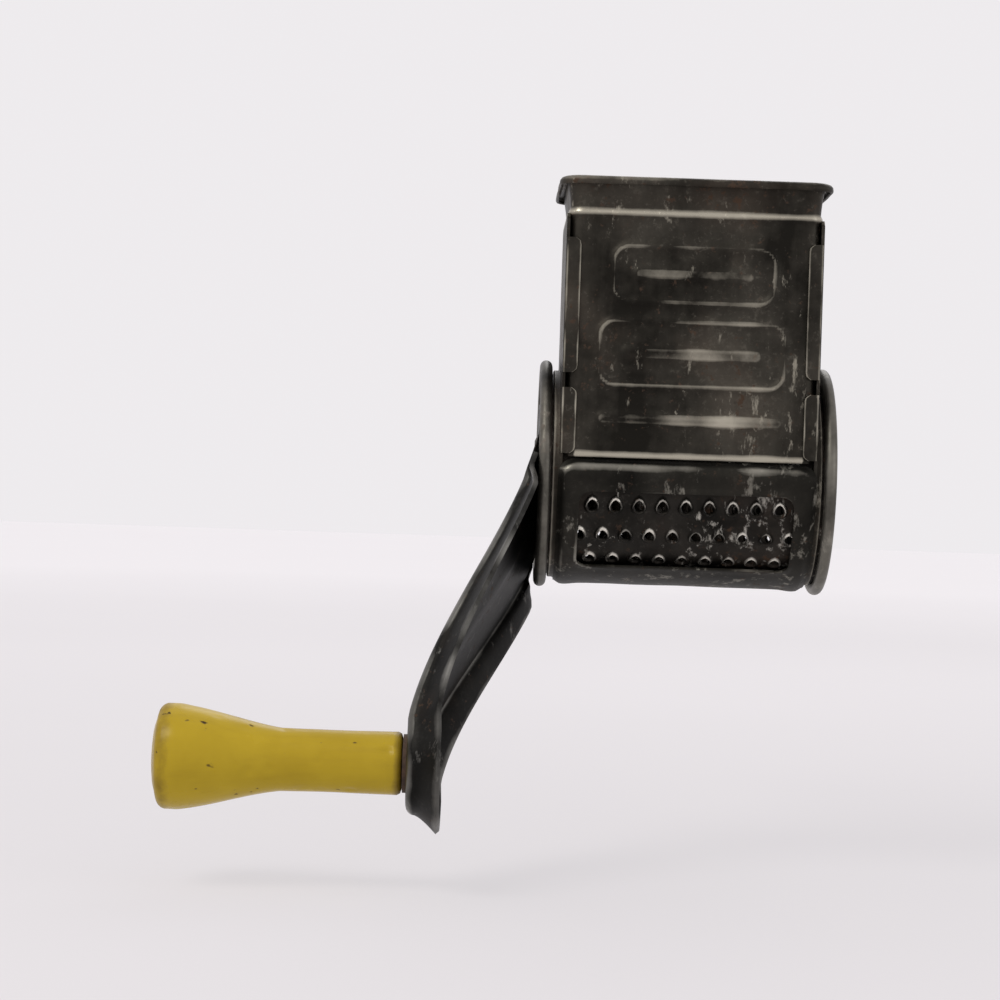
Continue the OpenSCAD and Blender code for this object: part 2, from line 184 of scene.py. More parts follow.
# Old tinplate: mottled grey, streaks, rust specks, and bright metal where it rubs; the mark layer also
# carries painted highlights, where crests, folds and edges are coloured bright as if catching the light
def tinFinish(name, dark, light, bright, rust, rustLevel, gloss, streakTurn=(0, 0, 0)):
    f = Finish(name)
    mottle = f.cloud(55.0, 6.0, 0.62)
    blotch = f.cloud(14.0, 3.0, 0.5)
    streak = f.cloud(90.0, 5.0, 0.6, f.stretched((1.0, 1.0, 0.12), streakTurn))
    grit = f.cloud(950.0, 3.0, 0.7)
    tone = (mottle * 0.6 + blotch * 0.35 + streak * 0.35 - 0.15).ramp(0.36, 0.74)
    colour = f.blend(tone, dark, light)
    fleck = (f.cloud(620.0, 5.0, 0.75) + (mottle - 0.5) * 0.5).ramp(0.56, 0.66)
    colour = f.blend(fleck * 0.62, colour, light)
    dragged = f.cloud(300.0, 5.0, 0.7, f.stretched((1.0, 1.0, 0.35), streakTurn))
    scuff = (dragged + (blotch - 0.5) * 0.4).ramp(0.60, 0.69)
    colour = f.blend(scuff * 0.60, colour, bright)
    speckField = f.cloud(430.0, 4.0, 0.65)
    rustPatch = f.cloud(26.0, 4.0, 0.6).ramp(rustLevel - 0.12, rustLevel + 0.1)
    speck = (speckField + rustPatch * 0.12).ramp(0.63, 0.70)
    rusty = (speck * 0.75 + rustPatch * mottle * 0.6).clamped()
    colour = f.blend(rusty, colour, rust)
    pit = (1.0 - f.cells(260.0)).ramp(0.86, 0.97) * blotch.ramp(0.42, 0.6)
    colour = f.blend(pit * 0.55, colour, (0.018, 0.014, 0.011, 1))
    markLevel = f.attribute("wear")
    # Rubbed metal and painted highlights from the mark layer, both blended towards the bright colour
    rubAndHighlight = (markLevel * 1.25 + (mottle - 0.5) * 0.9 * markLevel.ramp(0.05, 0.3)).ramp(0.38, 0.95)
    colour = f.blend(rubAndHighlight, colour, bright)
    roughness = (gloss + 0.18 + (blotch - 0.5) * 0.35 + rusty * 0.3 + grit * 0.08 - rubAndHighlight * 0.22).clamped()
    height = mottle * 0.4 + grit * 0.25 + rusty * 0.5 - pit * 0.8
    return f.put(Base_Color=colour, Roughness=roughness, Metallic=(0.93 - rusty * 0.6).clamped(),
                 Normal=f.bump(height, 0.32, 0.00025))


# Aged yellow lacquer over turned wood: fine grain below, grime in rings, nicks down to brown
def lacquerFinish():
    f = Finish("yellow lacquer")
    along = f.stretched((0.14, 1.0, 1.0))
    grain = f.cloud(240.0, 5.0, 0.6, along)
    cloudy = f.cloud(38.0, 4.0, 0.55)
    colour = f.blend(cloudy.ramp(0.35, 0.68), (0.36, 0.245, 0.011, 1), (0.45, 0.315, 0.017, 1))
    colour = f.blend(grain.ramp(0.52, 0.8) * 0.35, colour, (0.27, 0.175, 0.010, 1))
    age = f.attribute("grime")
    dirt = (age * 0.9 + (f.cloud(120.0, 6.0, 0.7) - 0.5) * 1.1).ramp(0.42, 0.95)
    colour = f.blend(dirt * 0.75, colour, (0.12, 0.068, 0.010, 1))
    chips = (f.cloud(170.0, 5.0, 0.62) + age * 0.06).ramp(0.685, 0.715)
    nick = (f.cloud(420.0, 2.0, 0.5, f.stretched((0.5, 1.0, 1.0), (0, 0, 0.5)))).ramp(0.715, 0.745)
    bare = (chips + nick * 0.8).clamped()
    colour = f.blend(bare, colour, (0.05, 0.03, 0.012, 1))
    roughness = (0.26 + dirt * 0.25 + bare * 0.4 + (cloudy - 0.5) * 0.18).clamped()
    height = cloudy * 0.25 + grain * 0.12 - bare * 1.0
    return f.put(Base_Color=colour, Roughness=roughness, Coat_Weight=(0.12 - bare * 0.12).clamped(),
                 Coat_Roughness=0.16, Specular_IOR_Level=0.12, Normal=f.bump(height, 0.4, 0.0003))


def fibreFinish():
    f = Finish("fibre washer")
    fleck = f.cloud(600.0, 5.0, 0.7)
    colour = f.blend(fleck.ramp(0.35, 0.7), (0.03, 0.016, 0.01, 1), (0.10, 0.055, 0.03, 1))
    return f.put(Base_Color=colour, Roughness=(0.6 + fleck * 0.3).clamped(),
                 Normal=f.bump(fleck, 0.4, 0.0002))


rustBrown = (0.045, 0.022, 0.009, 1)
finishes = {
    "tinplate": tinFinish("tarnished tinplate", (0.012, 0.0108, 0.0085, 1), (0.082, 0.074, 0.060, 1),
                          (0.40, 0.37, 0.30, 1), rustBrown, 0.60, 0.26),
    "dark_tinplate": tinFinish("dark tinplate", (0.0075, 0.0071, 0.0058, 1), (0.040, 0.037, 0.0305, 1),
                               (0.28, 0.265, 0.225, 1), rustBrown, 0.66, 0.28),
    "drum_steel": tinFinish("drum tinplate", (0.006, 0.0055, 0.0045, 1), (0.046, 0.042, 0.036, 1),
                            (0.66, 0.63, 0.56, 1), rustBrown, 0.58, 0.30),
    "arm_steel": tinFinish("arm steel", (0.0055, 0.0053, 0.0048, 1), (0.023, 0.0222, 0.020, 1),
                           (0.17, 0.165, 0.150, 1), rustBrown, 0.70, 0.28, (0, 0.5, 0)),
    "rivet_steel": tinFinish("rivet steel", (0.030, 0.028, 0.024, 1), (0.12, 0.112, 0.098, 1),
                             (0.40, 0.385, 0.34, 1), rustBrown, 0.62, 0.28),
    "yellow_lacquer": lacquerFinish(),
    "washer_fibre": fibreFinish(),
}
print("finishes made")


def meshPiece(name, points, faces, wear=None, layer="wear"):
    mesh = bpy.data.meshes.new(name)
    mesh.from_pydata([tuple(p) for p in points], [], faces)
    if wear:
        values = mesh.attributes.new(layer, "FLOAT", "POINT")
        values.data.foreach_set("value", wear)
    mesh.update()
    piece = bpy.data.objects.new(name, mesh)
    bpy.context.scene.collection.objects.link(piece)
    return piece


# A grid of at(row, column) -> (point, layer value). ring closes the columns, keep drops cells
def surface(name, rows, columns, at, ring=False, keep=None, layer="wear"):
    points = []
    wear = []
    for row in range(rows):
        for column in range(columns):
            point, markLevel = at(row, column)
            points.append(point)
            wear.append(markLevel)
    faces = []
    for row in range(rows - 1):
        for column in range(columns if ring else columns - 1):
            after = (column + 1) % columns
            if keep is None or keep(row, column):
                faces.append((row * columns + column, row * columns + after,
                              (row + 1) * columns + after, (row + 1) * columns + column))
    return meshPiece(name, points, faces, wear, layer)


def tidy(piece, gap=1e-6, outward=False):
    work = bmesh.new()
    work.from_mesh(piece.data)
    bmesh.ops.remove_doubles(work, verts=work.verts, dist=gap)
    loose = [v for v in work.verts if not v.link_faces]
    bmesh.ops.delete(work, geom=loose, context="VERTS")
    if outward:
        bmesh.ops.recalc_face_normals(work, faces=work.faces)
    work.to_mesh(piece.data)
    work.free()
    return piece


def smooth(piece, angle=40):
    piece.data.polygons.foreach_set("use_smooth", [True] * len(piece.data.polygons))
    piece.data.set_sharp_from_angle(angle=math.radians(angle))
    return piece


def thicken(piece, sheet, bevel=0.0):
    solid = piece.modifiers.new("sheet", "SOLIDIFY")
    solid.thickness = sheet
    solid.offset = -1.0
    solid.use_even_offset = True
    if bevel:
        edge = piece.modifiers.new("edge", "BEVEL")
        edge.width = bevel
        edge.segments = 2
        edge.limit_method = "ANGLE"
        edge.angle_limit = math.radians(50)
    return applied(piece)


def applied(piece):
    graph = bpy.context.evaluated_depsgraph_get()
    made = bpy.data.meshes.new_from_object(piece.evaluated_get(graph))
    made.name = piece.data.name + " mesh"
    piece.modifiers.clear()
    piece.data = made
    return piece


# One mesh out of several, with their attributes
def joined(name, parts):
    work = bmesh.new()
    for part in parts:
        work.from_mesh(part.data)
    mesh = bpy.data.meshes.new(name)
    work.to_mesh(mesh)
    work.free()
    for part in parts:
        bpy.data.objects.remove(part)
    piece = bpy.data.objects.new(name, mesh)
    bpy.context.scene.collection.objects.link(piece)
    return piece


def finished(piece, body, slot, *nodes, angle=40):
    piece.data.materials.clear()
    piece.data.materials.append(finishes[slot])
    smooth(piece, angle)
    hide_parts(*nodes)
    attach(piece, body)
    print("piece", piece.name, len(piece.data.polygons), "faces")
    return piece


def between(low, high, part):
    return low + (high - low) * part


def easeInOut(t):
    t = min(1.0, max(0.0, t))
    return t * t * (3 - 2 * t)


def bell(value, centre, width):
    return math.exp(-((value - centre) / width) ** 2)


def dent(point, size, height, seed):
    return noise.noise(Vector(point) / size + Vector((seed, seed * 1.7, seed * 0.3))) * height


# A profile of (radius, x, wear) turned about an X axis through centre; closed joins its ends
def spun(name, profile, centre, sides, layer="wear", closed=True):
    rows = len(profile) + (1 if closed else 0)

    def at(row, column):
        r, x, markLevel = profile[row % len(profile)]
        turn = fullTurn * column / sides
        return (x, centre.y + r * math.sin(turn), centre.z + r * math.cos(turn)), markLevel

    return tidy(surface(name, rows, sides, at, ring=True, layer=layer), outward=True)


# Points of a round stretch of a spun profile, angles in degrees from outward towards +X
def arc(centreR, centreX, radius, start, stop, steps, markLevel):
    made = []
    for step in range(steps + 1):
        angle = math.radians(between(start, stop, step / steps))
        made.append((centreR + radius * math.cos(angle), centreX + radius * math.sin(angle), markLevel))
    return made


# Distance to the outline of a rounded oblong, negative inside
def roundBox(x, z, halfX, halfZ, corner):
    dx = abs(x) - halfX + corner
    dz = abs(z) - halfZ + corner
    return math.hypot(max(dx, 0), max(dz, 0)) + min(max(dx, dz), 0) - corner


hopper = {
    "halfWidth": 32.05 * mm, "front": -29.0 * mm, "rear": 17.0 * mm, "corner": 3.2 * mm,
    "footFront": 4.2 * mm, "footRear": 23.7 * mm, "clear": 28.25 * mm,
    "mouth": mouthZ, "lipHeight": 8.2 * mm, "lipOut": 0.9 * mm, "curl": 0.75 * mm,
    "sheet": 0.7 * mm, "notchHalf": 10.95 * mm, "notchRow": 32, "wallRows": 90,
    "pressed": 0.75 * mm, "beadWidth": 1.0 * mm,
}


# Points round the hopper's plan, as (x from the middle, y, normal x, normal y)
def hopperPlan(h):
    half, front, rear, corner = h["halfWidth"], h["front"], h["rear"], h["corner"]
    flat = half - corner
    plan = [(between(-flat, flat, i / 88), front, 0, -1) for i in range(89)]

    def turn(cx, cy, start):
        for i in range(1, 6):
            a = math.radians(start + 15 * i)
            plan.append((cx + corner * math.cos(a), cy + corner * math.sin(a), math.cos(a), math.sin(a)))

    turn(flat, front + corner, -90)
    plan.extend((half, between(front + corner, rear - corner, i / 22), 1, 0) for i in range(23))
    turn(flat, rear - corner, 0)
    notch = h["notchHalf"]
    back = [between(flat, notch, i / 10) for i in range(10)]
    back += [between(notch, -notch, i / 12) for i in range(12)]
    back += [between(-notch, -flat, i / 10) for i in range(11)]
    plan.extend((x, rear, 0, 1) for x in back)
    turn(-flat, rear - corner, 90)
    plan.extend((-half, between(rear - corner, front + corner, i / 22), -1, 0) for i in range(23))
    turn(-flat, front + corner, 180)
    return plan


# Plain pressed beads on the front: two oblong outlines with a bar in each, and a thin bar below
def pressedPattern(x, z, h):
    marks = (
        (roundBox(x, z - 51.2 * mm, 20.5 * mm, 7.0 * mm, 4 * mm), 1.0),
        (roundBox(x, z - 51.2 * mm, 14.5 * mm, 0.6 * mm, 0.6 * mm), 1.3),
        (roundBox(x, z - 31.0 * mm, 23.5 * mm, 8.2 * mm, 4 * mm), 1.0),
        (roundBox(x, z - 31.0 * mm, 17.0 * mm, 0.8 * mm, 0.8 * mm), 1.4),
        (roundBox(x, z - 14.2 * mm, 23.0 * mm, 0.7 * mm, 0.7 * mm), 1.1),
    )
    return max(bell(distance, 0, h["beadWidth"] * wide) for distance, wide in marks)


def makeHopper():
    h = hopper
    plan = hopperPlan(h)
    neck = h["mouth"] - h["lipHeight"]
    lipRows = 9
    curlRows = 7
    rows = h["wallRows"] + 1 + lipRows + curlRows
    notchPlan = [abs(x) <= h["notchHalf"] + 1e-9 and ny == 1 for x, y, nx, ny in plan]

    def at(row, column):
        x, y, nx, ny = plan[column]
        if abs(y) < h["clear"]:
            foot = math.sqrt(h["clear"] ** 2 - y * y)
        else:
            foot = h["footFront"]
        foot = max(foot, h["footFront"])
        if y > h["rear"] - h["corner"]:
            foot = max(foot, h["footRear"])
        markLevel = 0.0
        if row <= h["wallRows"]:
            z = between(foot, neck, row / h["wallRows"])
            out = 0.55 * mm * bell(z, neck - 0.4 * mm, 0.9 * mm)
            # Painted highlight: a bright line along the neck bead's top, where it catches the light
            markLevel = 0.85 * bell(z, neck - 0.1 * mm, 0.8 * mm)
            if ny == -1:
                bead = pressedPattern(x, z, h)
                out += h["pressed"] * bead
                patch = 0.75 + 0.5 * noise.noise(Vector((x, 0, z)) / (9 * mm))
                # Rubbed metal on the pressed beads; the bright line just above the foot is a painted
                # highlight where the sheet faces up into the light
                markLevel = max(markLevel, 0.62 * bead ** 2 * patch, 0.8 * bell(z, foot + 0.8 * mm, 0.8 * mm))
                markLevel += 0.22 * easeInOut((26 * mm - z) / (20 * mm)) * patch
                inset = easeInOut((h["halfWidth"] - 4.5 * mm - abs(x)) / (3 * mm))
                out += inset * dent((x, 0, z), 16 * mm, 0.22 * mm, 3.1)
            elif abs(nx) == 1:
                out += dent((0, y, z), 18 * mm, 0.12 * mm, 8.4)
        elif row <= h["wallRows"] + lipRows:
            t = (row - h["wallRows"]) / lipRows
            z = between(neck, h["mouth"] - h["curl"], t)
            out = h["lipOut"] * t ** 1.7
            # Painted highlight: the neck's bright line carries on into the foot of the lip
            markLevel = 0.55 * bell(t, 0.05, 0.12)
        else:
            t = (row - h["wallRows"] - lipRows) / curlRows
            angle = math.radians(between(180, -40, t))
            z = h["mouth"] - h["curl"] + h["curl"] * math.sin(angle)
            out = h["lipOut"] + h["curl"] * (1 + math.cos(angle))
            markLevel = 0.4 * bell(t, 0.55, 0.3)
        if row > h["wallRows"]:
            ripple = 0.35 * mm * (row - h["wallRows"]) / (lipRows + curlRows)
            out += ripple * noise.noise(Vector((x, y, 0)) / (15 * mm))
        return (midX + x + nx * out, y + ny * out, z), markLevel

    def keep(row, column):
        after = (column + 1) % len(plan)
        return not (row >= h["notchRow"] and notchPlan[column] and notchPlan[after])

    piece = surface("hopper", rows, len(plan), at, ring=True, keep=keep)
    thicken(tidy(piece), h["sheet"], 0.12 * mm)
    finished(piece, "housing", "tinplate", "hopper_shell", angle=50)


makeHopper()


def loopPoints(cx, cy, radius, steps):
    return [(cx + radius * math.cos(fullTurn * i / steps), cy + radius * math.sin(fullTurn * i / steps))
            for i in range(steps)]


# An outline with its corners rounded; radius is one number, or one for each corner
def roundedLoop(corners, radius, steps):
    made = []
    count = len(corners)
    for i, corner in enumerate(corners):
        here = Vector(corner)
        r = radius[i] if isinstance(radius, (list, tuple)) else radius
        before = Vector(corners[i - 1]) - here
        after = Vector(corners[(i + 1) % count]) - here
        half = before.angle(after) / 2
        reach = min(r / math.tan(half), before.length / 2.02, after.length / 2.02)
        start = here + before.normalized() * reach
        stop = here + after.normalized() * reach
        for step in range(steps + 1):
            t = step / steps
            p = start * (1 - t) ** 2 + here * 2 * t * (1 - t) + stop * t * t
            made.append(tuple(p))
    return made


# A flat filled outline with holes, cut along lines of u and v so that it can be bent
def flatSheet(name, loops, uCuts, vCuts):
    curve = bpy.data.curves.new(name, "CURVE")
    curve.dimensions = "2D"
    curve.fill_mode = "BOTH"
    for loop in loops:
        line = curve.splines.new("POLY")
        line.points.add(len(loop) - 1)
        for point, (u, v) in zip(line.points, loop):
            point.co = (u / mm, v / mm, 0, 1)
        line.use_cyclic_u = True
    holder = bpy.data.objects.new(name, curve)
    bpy.context.scene.collection.objects.link(holder)
    graph = bpy.context.evaluated_depsgraph_get()
    mesh = bpy.data.meshes.new_from_object(holder.evaluated_get(graph))
    bpy.data.objects.remove(holder)
    work = bmesh.new()
    work.from_mesh(mesh)
    bmesh.ops.remove_doubles(work, verts=work.verts, dist=0.002)
    for axis, cuts in (((1, 0, 0), uCuts), ((0, 1, 0), vCuts)):
        for cut in cuts:
            everything = work.verts[:] + work.edges[:] + work.faces[:]
            bmesh.ops.bisect_plane(work, geom=everything, plane_co=Vector(axis) * (cut / mm), plane_no=axis,
                                   dist=0.002)
    for face in work.faces:
        if face.normal.z < 0:
            face.normal_flip()
    work.to_mesh(mesh)
    work.free()
    mesh.name = name
    piece = bpy.data.objects.new(name, mesh)
    bpy.context.scene.collection.objects.link(piece)
    return piece


# Moves a flat sheet's points by place(u, v) -> (point, mark value), the mark layer holding rubbed metal and
# painted highlights
def bent(piece, place):
    wear = piece.data.attributes.new("wear", "FLOAT", "POINT")
    for vertex, markLevel in zip(piece.data.vertices, wear.data):
        vertex.co, markLevel.value = place(vertex.co.x * mm, vertex.co.y * mm)
    piece.data.update()
    return piece


def steps(low, high, count):
    return [between(low, high, i / count) for i in range(count + 1)]


sidePlate = {
    "face": 32.85 * mm, "sheet": 0.8 * mm, "round": 28.2 * mm, "bore": 26.58 * mm, "front": -29.0 * mm,
    "rear": 17.0 * mm, "top": 66.3 * mm, "foot": 4.25 * mm, "rearFoot": 23.65 * mm, "collar": 1.7 * mm,
    "tabs": ((5.0 * mm, 21.8 * mm), (25.6 * mm, 60.0 * mm)), "tabWidth": 3.8 * mm, "foldR": 1.1 * mm,
    "footGap": 0.02, "edgeR": 0.15 * mm, "flatSteps": 4,
}


# A tab that starts inside the plate, turns round its front edge and lies on the hopper's front
def makeTab(name, side, zLow, zHigh):
    s = sidePlate
    fold = s["foldR"]
    over = s["front"] - s["sheet"]
    across = [(s["face"] - 0.3 * mm, s["front"] + 1.5 * mm), (s["face"] - 0.06 * mm, s["front"] + 0.75 * mm)]
    for i in range(1, 7):
        a = math.radians(15 * i)
        across.append((s["face"] - fold + fold * math.cos(a), over + fold - fold * math.sin(a)))
    bend = len(across) - 1
    across += [(s["face"] - between(fold, s["tabWidth"], i / s["flatSteps"]), over)
               for i in range(1, s["flatSteps"] + 1)]
    rows = 20
    cornerR = 1.4 * mm

    def folded(row, column):
        z = between(zLow, zHigh, 0.5 - 0.5 * math.cos(math.pi * row / rows))
        x, y = across[column]
        end = min(z - zLow, zHigh - z)
        if column > bend:
            x += cornerR * (1 - min(1, end / cornerR)) ** 2 * (column - bend) / s["flatSteps"]
        # Rubbed metal on the fold and the free edge, painted brighter there as highlights on edges that catch
        # the light
        markLevel = 0.75 * bell(column, 4.2, 1.5) + 0.85 * bell(column, len(across) - 1, 0.8)
        markLevel *= 0.75 + 0.5 * noise.noise(Vector((x * 40, side * 9.0, z / (5 * mm))))
        y += 0.12 * mm * noise.noise(Vector((side * 3.0, column * 0.3, z / (7 * mm))))
        return (midX + side * x, y, z), markLevel

    tab = surface(name, rows + 1, len(across), folded)
    if side > 0:
        tab.data.flip_normals()
    return thicken(tab, s["sheet"], s["edgeR"])


def makeSidePlate(name, side, node):
    s = sidePlate
    outline = [(s["front"], s["foot"]), (s["front"], s["top"] - 1.5 * mm), (s["front"] + 1.5 * mm, s["top"]),
               (s["rear"] - 1.5 * mm, s["top"]), (s["rear"], s["top"] - 1.5 * mm), (s["rear"], s["rearFoot"])]
    start = math.atan2(s["rearFoot"], s["rear"]) - s["footGap"]
    stop = math.asin(s["foot"] / s["round"]) - math.pi
    for i in range(65):
        angle = between(start, stop, i / 64)
        outline.append((s["round"] * math.cos(angle), s["round"] * math.sin(angle)))
    plate = flatSheet(name, [outline, loopPoints(0, 0, s["bore"], 96)], steps(-28 * mm, 16 * mm, 8),
                      steps(8 * mm, 62 * mm, 9))

    def stand(y, z):
        rim = math.hypot(y, z) - s["bore"]
        swell = dent((0, y, z), 20 * mm, 0.1 * mm, 1.3) * easeInOut((rim - 6 * mm) / (6 * mm))
        return (midX + side * (s["face"] + min(0, swell)), y, z), 0.1 + 0.5 * bell(z, s["top"], 1.2 * mm)

    bent(plate, stand)
    if side < 0:
        plate.data.flip_normals()
    thicken(plate, s["sheet"], s["edgeR"])
    parts = [plate] + [makeTab(name + " tab", side, zLow, zHigh) for zLow, zHigh in s["tabs"]]
    r = s["bore"]
    edge = s["face"] + s["collar"]
    outer = r + s["sheet"]
    base = s["face"] - 0.4 * mm
    soft = 0.25 * mm
    root = outer + 0.4 * mm
    section = [(r, base, 0.2), (r, edge - soft, 0.7), (r + soft, edge, 0.8), (outer - soft, edge, 0.7),
               (outer, edge - soft, 0.5), (outer, s["face"] + 0.5 * mm, 0.1), (root, s["face"], 0.0),
               (root, base, 0.0)]
    ring = [(radius, midX + side * x, markLevel) for radius, x, markLevel in section]
    parts.append(spun(name + " collar", ring, Vector((0, 0, 0)), 96))
    finished(joined(name, parts), "housing", "tinplate", node)


makeSidePlate("crankSidePlate", -1, "crank_side_plate")
makeSidePlate("outletSidePlate", 1, "outlet_side_plate")


guard = {
    "radius": 29.0 * mm, "half": 33.05 * mm, "top": 7.9, "end": 95.0, "windowTop": 9.0, "windowEnd": 55.5,
    "bar": 5.6 * mm, "windowCorner": 3.6 * mm, "corner": 5.2 * mm, "roll": 1.35 * mm, "sheet": 0.65 * mm,
}


def makeGuard():
    g = guard
    perDegree = math.radians(1) * g["radius"]
    top = g["top"] * perDegree
    low = -g["end"] * perDegree
    half = g["half"]
    outline = roundedLoop([(-half, low), (half, low), (half, top), (-half, top)],
                          [g["corner"] * 0.8, g["corner"] * 0.8, g["corner"], g["corner"]], 8)
    inner = half - g["bar"]
    window = roundedLoop([(-inner, -g["windowEnd"] * perDegree), (inner, -g["windowEnd"] * perDegree),
                          (inner, -g["windowTop"] * perDegree), (-inner, -g["windowTop"] * perDegree)],
                         g["windowCorner"], 7)
    uCuts = [s * x for s in (-1, 1) for x in steps(inner - 1 * mm, half - 0.3 * mm, 9)]
    uCuts += steps(-24 * mm, 24 * mm, 8)
    vCuts = steps(low + 0.3 * mm, -g["windowEnd"] * perDegree, 16)
    vCuts += steps(-g["windowEnd"] * perDegree, -g["windowTop"] * perDegree, 16)
    vCuts += steps(-g["windowTop"] * perDegree, top - 0.2 * mm, 12)
    piece = flatSheet("drumGuard", [outline, window], uCuts, vCuts)

    def wrap(x, arcLength):
        angle = arcLength / g["radius"]
        deep = -roundBox(x, arcLength - (top + low) / 2, half, (top - low) / 2, g["corner"])
        rim = roundBox(x, arcLength + (g["windowTop"] + g["windowEnd"]) / 2 * perDegree, inner,
                       (g["windowEnd"] - g["windowTop"]) / 2 * perDegree, g["windowCorner"])
        out = g["roll"] * bell(arcLength, 0.3 * mm, 2.9 * mm)
        side = bell(abs(x), half - g["bar"] / 2, g["bar"] * 0.5)
        out += 0.45 * mm * side * (1 - bell(arcLength, 0, 4 * mm))
        out -= 0.75 * mm * (1 - easeInOut(deep / (1.8 * mm)))
        out += 0.35 * mm * bell(rim, 0.4 * mm, 0.7 * mm)
        out += dent((x, arcLength, 0), 12 * mm, 0.16 * mm, 5.2)
        radius = g["radius"] - 0.25 * mm + out
        # Painted highlight along the roll's crest, which faces up into the light; the window's edge and the
        # outer edge get rubbed metal
        crest = bell(arcLength, 1.4 * mm, 1.3 * mm)
        markLevel = 0.5 * crest + 0.55 * bell(rim, 0.3 * mm, 0.5 * mm) + 0.35 * bell(deep, 1.6 * mm, 0.8 * mm)
        markLevel *= 0.7 + 0.7 * noise.noise(Vector((x, arcLength, 4 * mm)) / (8 * mm))
        return (midX + x, -radius * math.cos(angle), radius * math.sin(angle)), markLevel

    bent(piece, wrap)
    thicken(piece, g["sheet"], 0.12 * mm)
    finished(piece, "housing", "dark_tinplate", "drum_guard", angle=55)


cover = {"radius": 29.0 * mm, "half": 33.05 * mm, "low": -25.0, "high": 52.8, "sheet": 0.8 * mm}


def makeRearCover():
    c = cover
    across = steps(-c["half"], c["half"], 40)
    turns = steps(c["low"], c["high"], 30)

    def at(row, column):
        x = across[column]
        angle = math.radians(turns[row])
        edge = min(row, 30 - row) / 30 * (c["high"] - c["low"]) * math.radians(1) * c["radius"]
        near = min(edge, c["half"] - abs(x))
        out = -0.35 * mm * (1 - easeInOut(near / (1.4 * mm))) + 0.3 * mm * bell(edge, 4.5 * mm, 1.1 * mm)
        out += dent((x, row * mm, 0), 15 * mm, 0.12 * mm, 2.2)
        radius = c["radius"] - 0.3 * mm + out
        markLevel = 0.5 * bell(near, 0.6 * mm, 0.9 * mm) + 0.25 * bell(edge, 4.5 * mm, 0.9 * mm)
        return (midX + x, radius * math.cos(angle), radius * math.sin(angle)), markLevel

    piece = surface("rearCover", 31, 41, at)
    piece.data.flip_normals()
    thicken(piece, c["sheet"], 0.15 * mm)
    finished(piece, "housing", "dark_tinplate", "rear_cover")


makeGuard()
makeRearCover()


drum = {
    "radius": drumR, "rows": 20, "rowTeeth": 9, "pitch": 6.0 * mm, "toothHeight": 0.9 * mm,
    "sheet": 0.45 * mm, "rim": 16,
    "crestR": 1.62 * mm, "mouthR": 1.2 * mm, "plainEnd": 30 * mm,
}


# A point of the drum: x from its middle, arc length from straight up, height above its plain surface
def onDrum(x, along, height):
    angle = along / drum["radius"]
    radius = drum["radius"] + height
    return (midX + x, radius * math.sin(angle), radius * math.cos(angle))


# One punched tooth in its rectangle of sheet, centred at x = 0 on top of the drum
def makeToothCell():
    d = drum
    halfX = d["pitch"] / 2
    halfS = math.pi * d["radius"] / d["rows"]
    rim = d["rim"]
    corners = [(-halfX, -halfS), (halfX, -halfS), (halfX, halfS), (-halfX, halfS)]
    edge = []
    for i in range(rim):
        (x, s), (nextX, nextS) = corners[i // 4], corners[(i // 4 + 1) % 4]
        edge.append((between(x, nextX, i % 4 / 4), between(s, nextS, i % 4 / 4)))
    rings = ((2.45 * mm, 0.02, 0.0, 0.0), (2.15 * mm, 0.16, 0.12, 0.0), (1.88 * mm, 0.62, 0.55, 0.06),
             (d["crestR"], 1.0, 1.0, 0.16), (1.42 * mm, 0.86, 0.9, 0.12), (d["mouthR"], 0.25, 0.25, 0.0),
             (1.12 * mm, -0.45, 0.0, 0.0))
    points = [onDrum(x, s, 0) for x, s in edge]
    wear = [0.0] * rim
    for radius, height, markLevel, lean in rings:
        for x, s in edge:
            turn = math.atan2(s / halfS, x / halfX)
            up = math.sin(turn)
            drop = 1 + 0.42 * max(0, up) ** 3
            lift = height * (0.72 + 0.28 * up + lean)
            points.append(onDrum(radius * math.cos(turn), radius * drop * up,
                                 d["toothHeight"] * min(1.0, lift)))
            wear.append(markLevel * (0.6 + 0.4 * up))
    faces = []
    for ring in range(len(rings)):
        for i in range(rim):
            after = (i + 1) % rim
            faces.append((ring * rim + i, ring * rim + after, (ring + 1) * rim + after, (ring + 1) * rim + i))
    return meshPiece("toothCell", points, faces, wear)


# The plain sheet at both ends of every row of teeth
def makeDrumBands():
    d = drum
    points = []
    faces = []
    halfS = math.pi * d["radius"] / d["rows"]
    ends = (shellLow.x - midX, shellHigh.x - midX)
    cuts = d["rim"] // 4
    stride = cuts + 1
    for row in range(d["rows"]):
        reach = (d["rowTeeth"] + row % 2) * d["pitch"] / 2
        for side in (0, 1):
            sign = 2 * side - 1
            stations = [reach]
            while stations[-1] + d["pitch"] / 4 < d["plainEnd"] + 1e-6:
                stations.append(stations[-1] + d["pitch"] / 4)
            stations += [d["plainEnd"] + 2.5 * mm, abs(ends[side])]
            first = len(points)
            for station in stations:
                for i in range(stride):
                    along = halfS * (2 * row) + between(-halfS, halfS, i / cuts)
                    points.append(onDrum(sign * station, along, 0))
            for a in range(len(stations) - 1):
                for i in range(cuts):
                    corner = first + a * stride + i
                    quad = (corner, corner + 1, corner + stride + 1, corner + stride)
                    faces.append(quad[::-1] if side else quad)
    return meshPiece("drumBands", points, faces, [0.0] * len(points))


